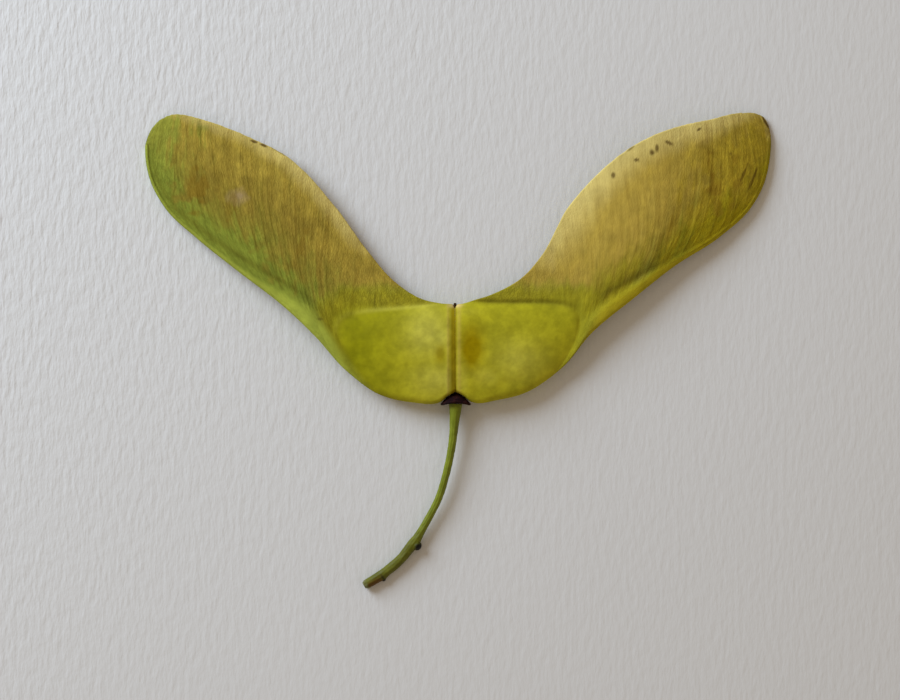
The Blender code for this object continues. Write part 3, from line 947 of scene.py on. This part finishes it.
def paintOf(half, along, across, points, veins, onSheet, inside, fromLeading, fromTrailing, hollow):
    # where each colour of the wall lies, 0 to 1: bands along and across that streaky noise
    # frays, bells round places on the nutlet, and the ragged marks
    paint = paintLook
    x, y = points[..., 0], points[..., 1]

    def noise(label, u, v, layers=3):
        # the noise of that name
        return grain(u, v, half["seed"] + seeds[label], layers)

    def marks(label):
        # the marks of that name
        return marksOf(half["marks"][label], x, y, half["seed"] + seeds[label])

    strength, bends, acrossBends = paint["streak"]
    streak = strength * noise("streak", along * bends, across * acrossBends, 4)
    strength, bends = paint["broad"]
    streak = streak + strength * noise("broad", x * bends, y * bends)
    bends = paint["patchBends"]
    patchy = 0.5 + 0.5 * noise("patches", x * bends, y * bends)
    frayed = across + streak

    low, high, climb = half["tan"]
    neck = eased(-inside + paint["neckFray"] * streak, *half["neck"])
    leaves = (1 - half["tanAtTip"]) * eased(along + paint["tanFray"] * streak, *half["tanPlaces"])
    tan = eased(frayed - climb * eased(along, *paint["tanClimb"]), low, high) * neck * (1 - leaves)
    *rustAlong, strength = half["rust"]
    rust = strength * window(frayed, *paint["rustAcross"]) * window(along + streak, *rustAlong)

    marginAt, marginWide, marginShare = np.array(half["margin"]).T
    wide = np.interp(along, marginAt, marginWide)
    inner, outer = paint["marginEnds"]
    pale = 1 - eased(fromTrailing + paint["marginFray"] * streak, inner * wide, outer * wide)
    pale = np.interp(along, marginAt, marginShare) * pale * between(paint["marginOnNeck"], 1, neck)

    # a paler sand colour over the wing's middle: partly its own pale tan, partly painted light before the
    # fold, so it fades past the fold
    cast = half["cast"] * eased(across + paint["castFray"] * streak, *paint["castAcross"])
    lost, wide = paint["pastFold"]
    foldAt = half["fold"][0]
    cast = cast * bell(along, *paint["castAlong"]) * (1 - lost * eased(along, foldAt - wide, foldAt + wide))
    lost, low, high = paint["amberEdge"]
    amber = half["amber"] * eased(along + streak, *paint["amberFrom"])
    amber = amber * (1 - eased(along, *paint["amberTo"])) * (1 - lost * eased(frayed, low, high))
    # the olive past the fold: partly the wing's own colour, partly painted shade on the side of the fold
    # that faces away from the lamp
    start, full, top = half["shade"]
    bent = along + foldBend(across) + paint["shadeFray"] * streak
    shaded = (1 - eased(frayed, paint["shadeSoft"] * top, top)) * eased(bent, start, full)

    lineAt = np.interp(along, *np.array(half["ribLine"]).T)
    share, lost, thins, thin = half["ribBand"]
    band = lineAt * (share - lost * eased(along, thins, thin))
    inner, outer = paint["ribEnds"]
    ribbed = (1 - eased(fromLeading, inner * band, outer * band)) * eased(along, *half["ribStart"])
    lost, low, high = paint["ribLost"]
    ribbed = ribbed * (1 - lost * eased(along, low, high))
    # painted shade along the foot of the rib, where it meets the sheet
    ribFootShade = bell(fromLeading, lineAt, paint["ribEdgeWidth"]) * window(along, *half["ribFootShade"])
    nearRib = 1 - eased(fromLeading + paint["nearRibFray"] * streak, *paint["nearRib"])
    nearRib = half["nearRib"] * nearRib * window(along, *paint["nearRibAlong"])

    calm = calmOf(half, along, across)
    bends, acrossBends, low, high = veinLook["dash"]
    dashes = noise("dashes", along * veinLook["count"] * bends, across * acrossBends)
    dashes = eased(dashes, low, high) * (1 - paint["calmVeins"] * calm)
    lensLow, lensHigh = [between(*ends, eased(x, *paint["lensTurn"])) for ends in paint["lensEnds"]]
    # painted highlights on the nutlet, made patchy
    glow = np.zeros_like(x)
    for *place, strength in half["glow"]:
        glow = np.maximum(glow, strength * bells(x, y, *place))
    glowing = between(paint["leastPatch"], 1, patchy)
    gain, plain, patched = paint["hollow"]
    share, *creamPlace = paint["cream"]
    reach, seamShare, lipAt, lipWide, lipShare = half["seam"]

    def line(label):
        # a line at the upper side of the nutlet's outline, for its painted highlight and shade
        strength, middle, width, low, high = paint[label]
        above = eased(y - half["low"], *paint["lineTop"])
        above = above * (1 - paint["lineLost"] * eased(x, *half["lineEnd"]))
        return strength * bell(inside, middle, width) * eased(x, low, high) * above

    return {
        "tan": tan,
        "oliveAndShade": np.maximum(half["oliveAndShade"] * shaded, nearRib),
        "neck": paint["neckShare"] * (1 - neck),
        "rust": neck * np.maximum(rust, marks("rust")),
        "lilac": marks("lilac"),
        "brown": marks("brown"),
        "pale": pale,
        "sandAndLight": cast * neck,
        "amber": amber,
        "spot": marks("spot"),
        "vein": half["veinDark"] * veins * onSheet * dashes,
        "calm": calm,
        "ribFootShade": half["ribDark"] * ribFootShade,
        "gold": half["gold"] * eased(along, *paint["goldAlong"]),
        "rib": ribbed,
        "lens": eased(inside, lensLow, lensHigh),
        "ridge": (half["outline"] > 0) * line("ridge"),
        "crease": (half["outline"] < 0) * line("crease"),
        "glow": glow * glowing,
        "end": half["end"] * eased(x, *paint["endX"]) * between(paint["leastEnd"], 1, patchy),
        # painted shade in the dimple
        "hollow": half["hollowPaint"] * np.clip(gain * hollow * between(plain, patched, patchy), 0, 1),
        "cream": share * bells(x, y, *creamPlace),
        "seam": seamShare * (1 - eased(x, paint["seamSoft"] * reach, reach)),
        "lip": lipShare * bell(x, lipAt, lipWide) * glowing,
    }


def columnWeight(along):
    # how close the columns lie
    plain, atSeam, wide, onWing, low, high = samaraLook["columnWeight"]
    return plain + atSeam * bell(along, 0, wide) + onWing * eased(along, low, high)


def rowWeight(across):
    # how close the rows lie
    plain, leading, trailing, wide = samaraLook["rowWeight"]
    return plain + leading * bell(across, 0, wide) + trailing * bell(across, 1, wide)


def makeSamara(half, material):
    # a grid for the upper face and one for the lower, as a middle height with a thickness
    # above and below it, closed at both rims, at the tip and at the seam
    look = samaraLook
    seed = half["seed"]
    places, rows = crowded(look["columns"], columnWeight), crowded(look["rows"], rowWeight)
    along, across = np.meshgrid(places, rows, indexing="ij")
    points = planOf(half, along, across)
    x, y = points[..., 0], points[..., 1]
    fine = np.linspace(0, 1, look["edgeSamples"])
    fromLeading, fromTrailing = [distanceFrom(edge, points) for edge in edgesOf(half, fine, fine)]
    lens, inside = lensOf(half, x, y)
    rib = ribOf(half, along, fromLeading)
    width = np.linalg.norm(points[:, -1:] - points[:, :1], axis=-1)
    veins = veinsOf(half, along, across, spacingOf(along, points), width, fromLeading, fromTrailing)
    onSheet = (1 - eased(lens, *look["sheetByLens"])) * (1 - eased(rib, *look["sheetByRib"]))
    onSheet = onSheet * eased(along, *look["sheetAlong"])

    # half the thickness: lens, rib and sheet blended by their powers, and rounded at the edges
    lost, low, high = look["sheetThins"]
    sheet = look["sheetHalf"] * (1 - lost * eased(across, low, high))
    power = look["blendPower"]
    thick = (lens**power + rib**power + sheet**power) ** (1 / power)
    nearFoot, atNutlet, onWing = look["edgeRound"]
    edgeRound = between(nearFoot, atNutlet, eased(x, *look["footEnd"]))
    edgeRound = between(edgeRound, onWing, eased(along, *look["wingStart"]))
    edge = rounded(fromLeading, edgeRound) * rounded(fromTrailing, onWing)
    thick = thick * edge

    # the sheet buckles between its veins, and the right one has a fold beside one of them
    depth, bends, acrossBends, low, high = look["buckle"]
    buckle = depth * grain(along * bends, across * acrossBends, seed + seeds["buckle"], 3)
    foldAt, height = half["fold"]
    crest = foldAt - foldBend(across)
    rises, falls = look["foldFlanks"]
    fold = height * window(along, crest - rises, crest, crest, crest + falls)
    fold = fold * window(across, *look["foldAcross"])
    middle = middleOf(half, along, across) + (buckle * eased(fromLeading, low, high) + fold) * onSheet
    raised = veinLook["height"] * veins * onSheet * edge
    raised = raised * (1 - look["calmHeight"] * calmOf(half, along, across))
    # the nutlet's outline is a low line up or down, its skin is a little uneven, and the seam
    # has a lip and a hollow beside it
    outline = half["outline"] * bell(inside, 0.0, look["outlineWidth"]) * eased(x, *look["outlineX"])
    outline = outline * edge * eased(y - half["low"], *look["outlineY"])
    depth, bends, low, high = look["skin"]
    skin = depth * grain(x * bends, y * bends, seed + seeds["skin"], 4) * eased(lens, low, high)
    lipX, lipHeight, lipWidth = half["lip"]
    lip = lipHeight * bell(x, lipX, lipWidth) * edge
    dimpleX, dimpleY, depth, halfWidth, halfHeight = half["dimple"]
    hollow = bells(x, y, dimpleX, dimpleY, halfWidth, halfHeight)
    roundBy, roundWide = look["seamRound"]
    above = thick + raised + outline + skin + lip - depth * hollow * eased(thick, *look["hollowByThick"])
    above = above - roundBy * (1 - np.clip(x / roundWide, 0, 1)) ** 2
    topZ = middle + np.maximum(above, look["leastAbove"] * edge)
    bottomZ = np.maximum(middle - (thick + raised * look["veinsBelow"]), 0)
    for row in (0, -1):
        topZ[:, row] = middle[:, row]
        bottomZ[:, row] = middle[:, row]
    placeX = seamX + half["out"] * (np.maximum(x, 0) + look["seamGap"] / 2)
    top = np.stack([placeX, y, topZ], -1)
    bottom = np.stack([placeX, y, bottomZ], -1)

    # point numbers: both faces share the rims, and the last column is one point, the tip
    columns, rowCount = along.shape
    tip = (columns - 1) * rowCount
    topIndex = np.arange(columns * rowCount).reshape(columns, rowCount)
    topIndex[-1] = tip
    bottomIndex = topIndex.copy()
    inner = np.arange((columns - 1) * (rowCount - 2)).reshape(columns - 1, rowCount - 2)
    bottomIndex[:-1, 1:-1] = tip + 1 + inner

    def together(upper, lower=None):
        # values of the upper face, the tip and the inner part of the lower face in one row
        lower = upper if lower is None else lower
        depth = upper.shape[2] if upper.ndim > 2 else 1
        inner = lower[:-1, 1:-1].reshape(-1, depth)
        return np.concatenate([upper.reshape(-1, depth)[: tip + 1], inner])

    seamWall = np.stack([topIndex[0], bottomIndex[0]])
    cells = np.concatenate([cellsOf(topIndex), cellsOf(bottomIndex)[:, ::-1], cellsOf(seamWall)])
    if half["out"] < 0:
        cells = cells[:, ::-1]
    paint = paintOf(
        half, along, across, points, veins, onSheet, inside, fromLeading, fromTrailing, hollow
    )
    newPiece(
        half["node"] + "_skin",
        together(top, bottom),
        facesFrom(cells),
        half["node"],
        material,
        {label: together(np.broadcast_to(values, x.shape))[:, 0] for label, values in paint.items()},
        together(np.stack([along, across], -1)),
    )


wall = wallMaterial()
makeSamara(leftHalf, wall)
makeSamara(rightHalf, wall)


# The stalk: x, y, height of its centre and radius along it, from the fruit to its cut end
stalkLook = {
    "route": (
        (-0.34, -6.44, 1.70, 0.80),
        (-0.40, -7.30, 1.68, 0.71),
        (-0.49, -8.50, 1.65, 0.57),
        (-0.78, -11.40, 1.52, 0.46),
        (-1.40, -14.50, 1.33, 0.44),
        (-2.42, -17.85, 1.11, 0.43),
        (-3.80, -20.55, 0.92, 0.44),
        (-5.30, -23.04, 0.77, 0.53),
        (-7.05, -25.20, 0.66, 0.58),
        (-9.10, -26.90, 0.58, 0.58),
        (-11.34, -28.30, 0.58, 0.58),
    ),
    "rings": 420,
    "sides": 56,
    # place along, side in degrees from the outside of the curve, height, half length, half width
    "swellings": (
        (0.692, 8, 0.16, 0.030, 50),
        (0.905, 0, 0.14, 0.016, 60),
        (0.705, 190, 0.10, 0.040, 90),
    ),
    "knobs": ((0.692, 6, 0.36, 0.0210, 62), (0.908, -4, 0.12, 0.0080, 45)),
    "ridges": (9, 0.016, 0.1),
    # fine noise of the radius: strength, bends around and along
    "rough": (0.030, 2, 60),
    # share of the radius that a cut end loses, and over what share of the length
    "endRound": (0.32, 0.014),
    # shares of the length where a colour starts and is full, or its middle and width
    "darkShare": 0.75,
    "darkFrom": (0.55, 0.72),
    "brownFrom": (0.90, 0.92),
    "cutFrom": (0.975, 0.99),
    "scarRing": (0.905, 0.006),
    "scarShare": 0.7,
    "scarEnds": (0.5, 1.3),
    # the lower side of the curve: its middle, and how far round it is full and ends, in degrees
    "lowSide": (10, 50, 115),
    "green": tint(120, 130, 28),
    "light": tint(142, 148, 58),
    "dark": tint(92, 90, 18),
    "brown": tint(98, 70, 14),
    "scar": tint(22, 18, 10),
    "cut": tint(118, 118, 72),
    "streaks": ((14, 26, 1), "UV", 4, 0.6),
    "mottle": ((900, 900, 900), "Object", 4),
    "lightSpan": (0.5, 0.75, 0, 0.45),
    "mottleShade": (0.80, 1.14),
    "roughness": (0.42, 0.60),
    "specular": 0.2,
    "relief": (0.05, 0.03),
}


def stalkMaterial():
    # green with lighter streaks, then the darker lower part, the joint, the cut and the scars
    look = stalkLook
    made = Nodes("Stalk skin")
    streaks, mottle = made.noise(*look["streaks"]), made.noise(*look["mottle"])
    colour = made.over(look["green"], look["light"], made.span(streaks, *look["lightSpan"]))
    for label in ("dark", "brown", "cut"):
        colour = made.over(colour, look[label], made.field(label))
    colour = made.shaded(colour, mottle, *look["mottleShade"])
    colour = made.over(colour, look["scar"], made.field("scar"))
    streakHeight, mottleHeight = look["relief"]
    bumps = made.relief(mottle, mottleHeight, made.relief(streaks, streakHeight))
    return made.dressed(colour, made.span(mottle, *roughSpan, *look["roughness"]), look["specular"], bumps)


def makeStalk(material):
    # rings carried along a smooth line; each ring's radius is the stem's, with swellings,
    # round knobs, low ridges lengthways and fine noise, and closes at a cut at both ends
    look = stalkLook
    sides = look["sides"]
    route = np.array(look["route"])
    places = np.linspace(0, 1, look["rings"])
    line = smoothCurve(lengthsAlong(route[:, :3]), route, places)
    ways = unit(np.gradient(line[:, :3], axis=0))
    level = unit(np.cross([0.0, 0.0, 1.0], ways))
    up = np.cross(ways, level)
    angles = np.linspace(0, 2 * math.pi, sides, endpoint=False)
    place, angle = np.meshgrid(places, angles, indexing="ij")
    total = np.repeat(line[:, 3:], sides, 1)

    def fromSide(side):
        # angle from a side of the curve, from half a turn back to half a turn on
        return (angle - math.radians(side) + math.pi) % (2 * math.pi) - math.pi

    for where, side, height, halfLength, halfWidth in look["swellings"]:
        total += height * bells(fromSide(side), place, 0, where, math.radians(halfWidth), halfLength)
    count, height, start = look["ridges"]
    total += height * np.cos(count * angle + 3 * grain(place * 6, angle * 0, 5)) * eased(place, 0, start)
    depth, around, along = look["rough"]
    total += depth * grain(np.cos(angle) * around + 8, np.sin(angle) * around + place * along, 9, 3)
    scar = np.zeros_like(place)
    for where, side, height, halfLength, halfWidth in look["knobs"]:
        away = ((place - where) / halfLength) ** 2 + (fromSide(side) / math.radians(halfWidth)) ** 2
        total += height * np.sqrt(np.clip(1 - away, 0, 1))
        scar = np.maximum(scar, 1 - eased(away, *look["scarEnds"]))
    lost, length = look["endRound"]
    total *= 1 - lost * (1 - eased(1 - place, 0, length))
    spokes = np.cos(angle)[..., None] * level[:, None] + np.sin(angle)[..., None] * up[:, None]
    spots = line[:, None, :3] + total[..., None] * spokes
    spots[..., 2] = np.maximum(spots[..., 2], 0)
    points = np.concatenate([spots.reshape(-1, 3), line[:1, :3], line[-1:, :3]])
    index = np.arange(place.size).reshape(place.shape)
    index = np.concatenate([index, index[:, :1]], 1)
    first = np.stack([np.full(sides + 1, place.size), index[0]])
    last = np.stack([index[-1], np.full(sides + 1, place.size + 1)])
    cells = np.concatenate([cellsOf(first), cellsOf(index), cellsOf(last)])
    frayed = place + 0.02 * grain(angle * 2, place * 40, 13)
    side, *ends = look["lowSide"]
    lowSide = 1 - eased(np.abs(fromSide(side)), *np.radians(ends))
    scarRing = look["scarShare"] * lowSide * bell(place, *look["scarRing"])
    # each field's values on the rings, then at the middle of the first and the last cut
    fields = {
        "dark": (look["darkShare"] * eased(frayed, *look["darkFrom"]), 0, look["darkShare"]),
        "brown": (lowSide * window(frayed, *look["brownFrom"], *look["cutFrom"]), 0, 0),
        "scar": (np.maximum(scar, scarRing), 0, 0),
        "cut": (eased(frayed, *look["cutFrom"]), 0, 1),
    }
    packed = {label: np.append(values.ravel(), ends) for label, (values, *ends) in fields.items()}
    around = np.stack([angle / (2 * math.pi), place], -1).reshape(-1, 2)
    uv = np.concatenate([around, [[0.5, 0], [0.5, 1]]])
    newPiece("stalk_skin", points, facesFrom(cells), "stalk", material, packed, uv)


makeStalk(stalkMaterial())


# The receptacle: its outline about the seam's line as radius and y, how flat it is, the
# droop of its two sides, and how deep its wrinkles are
collarLook = {
    "outline": (
        (0.00, -5.02),
        (0.22, -5.08),
        (0.50, -5.25),
        (0.85, -5.42),
        (1.16, -5.54),
        (1.46, -5.79),
        (1.72, -5.97),
        (1.90, -6.09),
        (1.92, -6.23),
        (1.72, -6.37),
        (1.35, -6.38),
        (0.96, -6.40),
        (0.92, -6.34),
        (0.00, -6.34),
    ),
    "flat": 0.84,
    "droop": 0.38,
    "sides": 96,
    "rings": 90,
    "wrinkle": 0.05,
    "seed": 3,
    "colour": tint(26, 8, 14),
    "edge": tint(62, 30, 26),
}
# What the two dark skins share: mottle, its span, roughness, gloss, bumps; wrinkles' bends
darkLook = {
    "mottle": ((1500, 1500, 1500), "Object", 5, 0.65),
    "edgeSpan": (0.45, 0.75),
    "roughness": (0.6, 0.9),
    "specular": 0.08,
    "relief": 0.08,
    "bends": (2.2, 2.5),
}


def darkMaterial(name, colour, edge):
    # a dark colour with mottles of a lighter or darker one
    look = darkLook
    made = Nodes(name)
    mottle = made.noise(*look["mottle"])
    mixed = made.over(colour, edge, made.span(mottle, *look["edgeSpan"]))
    rough = made.span(mottle, *roughSpan, *look["roughness"])
    return made.dressed(mixed, rough, look["specular"], made.relief(mottle, look["relief"]))


def makeTurned(name, node, look, centreX, centreZ, material):
    # an outline carried round a line along Y, pressed flat in height, with a radius that
    # noise of its angle and y makes uneven, and sides that droop by the square of x
    outline = np.array(look["outline"])
    knots = lengthsAlong(outline)
    places = np.linspace(0, 1, look["rings"])
    profile = np.stack([np.interp(places, knots, outline[:, part]) for part in (0, 1)], -1)
    angles = np.linspace(0, 2 * math.pi, look["sides"], endpoint=False)
    radius = np.repeat(profile[:, :1], len(angles), 1)
    y = np.repeat(profile[:, 1:], len(angles), 1)
    angle = np.repeat(angles[None], len(places), 0)
    around, along = darkLook["bends"]
    uneven = grain(np.cos(angle) * around + 9, np.sin(angle) * around + y * along + 30, look["seed"], 3)
    radius = radius * (1 - look["wrinkle"] + look["wrinkle"] * uneven)
    x = radius * np.cos(angle)
    y = y - look["droop"] * (x / outline[:, 0].max()) ** 2
    z = look["flat"] * radius * np.sin(angle)
    points = np.stack([centreX + x, y, centreZ + z], -1).reshape(-1, 3)
    index = np.arange(x.size).reshape(x.shape)
    index[0] = index[0, 0]
    index[-1] = index[-1, 0]
    # the points that no face uses, the rest of both poles' rings, are left out
    used, cells = np.unique(cellsOf(np.concatenate([index, index[:, :1]], 1)), return_inverse=True)
    newPiece(name, points[used], facesFrom(cells.reshape(-1, 4)), node, material)


collarSkin = darkMaterial("Receptacle skin", collarLook["colour"], collarLook["edge"])
makeTurned("receptacle_skin", "receptacle", collarLook, collarMiddle[0], collarMiddle[2], collarSkin)

# The dried style: radius and y from its root to its worn tip
styleLook = {
    "outline": ((0.00, 4.96), (0.11, 5.04), (0.15, 5.22), (0.21, 5.44), (0.17, 5.60), (0.00, 5.65)),
    "flat": 1.0,
    "droop": 0.0,
    "wrinkle": 0.08,
    "sides": 40,
    "rings": 40,
    "seed": 6,
    "colour": tint(60, 42, 20),
    "edge": tint(26, 18, 12),
}
styleSkin = darkMaterial("Style skin", styleLook["colour"], styleLook["edge"])
makeTurned("style_skin", "style_remnant", styleLook, seamX, styleMiddle[2], styleSkin)


# Paper, light and camera
stageLook = {
    "paper": tint(226, 226, 226),
    "paperHalf": 1500.0,
    "fibres": ((1500, 480, 1500), "Object", 3, 0.5),
    "fibreHeight": 0.15,
    # the paper's grain shows less and less from the upper left to the lower right: repeats a
    # metre, and the sum's span with the shares at its ends
    "fade": (6.9, -4.2, 1),
    "fadeSpan": (-0.62, 0.12, 1.3, 0.42),
    "roughness": 0.9,
    "specular": 0.2,
    "keyFrom": (-291.0, 244.0, 202.0),
    "keySize": 290.0,
    "keyPower": 1.97,
    "keyColour": (0.75, 0.866, 1.0),
    "room": (1.0, 0.82, 0.62),
    "roomPower": 0.36,
    "cameraX": -1.02,
    "cameraHeight": 420.0,
    "frameWide": 108.0,
    "frameAt": 0.9,
    "sensor": 36,
    "clipStart": 0.01,
}


def makePaper():
    # a level sheet at height 0
    look = stageLook
    side = look["paperHalf"] * mm
    paperCorners = [(-side, -side, 0), (side, -side, 0), (side, side, 0), (-side, side, 0)]
    mesh = bpy.data.meshes.new("Paper")
    mesh.from_pydata(paperCorners, [], [(0, 1, 2, 3)])
    paper = bpy.data.objects.new("Paper", mesh)
    bpy.context.scene.collection.objects.link(paper)
    made = Nodes("Paper")
    fibres = made.noise(*look["fibres"])
    gradient = made.add("ShaderNodeSeparateXYZ", {"Vector": made.place(look["fade"])}).outputs
    falling = made.sums("ADD", gradient["X"], gradient["Y"])
    fibres = made.sums("MULTIPLY", fibres, made.span(falling, *look["fadeSpan"]))
    bumps = made.relief(fibres, look["fibreHeight"])
    mesh.materials.append(made.dressed(look["paper"], look["roughness"], look["specular"], bumps))


def makeLight():
    # a window to the upper left as a disk that faces the fruit, and a warmer room
    look = stageLook
    key = bpy.data.lights.new("Window", "AREA")
    key.shape = "DISK"
    key.size = look["keySize"] * mm
    key.energy = look["keyPower"]
    key.color = look["keyColour"]
    lamp = bpy.data.objects.new("Window", key)
    lamp.location = [part * mm for part in look["keyFrom"]]
    lamp.rotation_euler = (-lamp.location).to_track_quat("-Z", "Y").to_euler()
    bpy.context.scene.collection.objects.link(lamp)
    world = bpy.data.worlds.new("Room")
    world.use_nodes = True
    world.node_tree.nodes["Background"].inputs["Color"].default_value = (*look["room"], 1)
    world.node_tree.nodes["Background"].inputs["Strength"].default_value = look["roomPower"]
    bpy.context.scene.world = world


def makeCamera():
    # straight above, with the width of the frame given at the height of frameAt
    look = stageLook
    lens = bpy.data.cameras.new("Camera")
    lens.sensor_width = look["sensor"]
    lens.lens = lens.sensor_width * (look["cameraHeight"] - look["frameAt"]) / look["frameWide"]
    lens.clip_start = look["clipStart"]
    camera = bpy.data.objects.new("Camera", lens)
    camera.location = (look["cameraX"] * mm, 0, look["cameraHeight"] * mm)
    bpy.context.scene.collection.objects.link(camera)
    bpy.context.scene.camera = camera
    bpy.context.scene.view_settings.view_transform = "Standard"


makePaper()
makeLight()
makeCamera()
print("stage made")
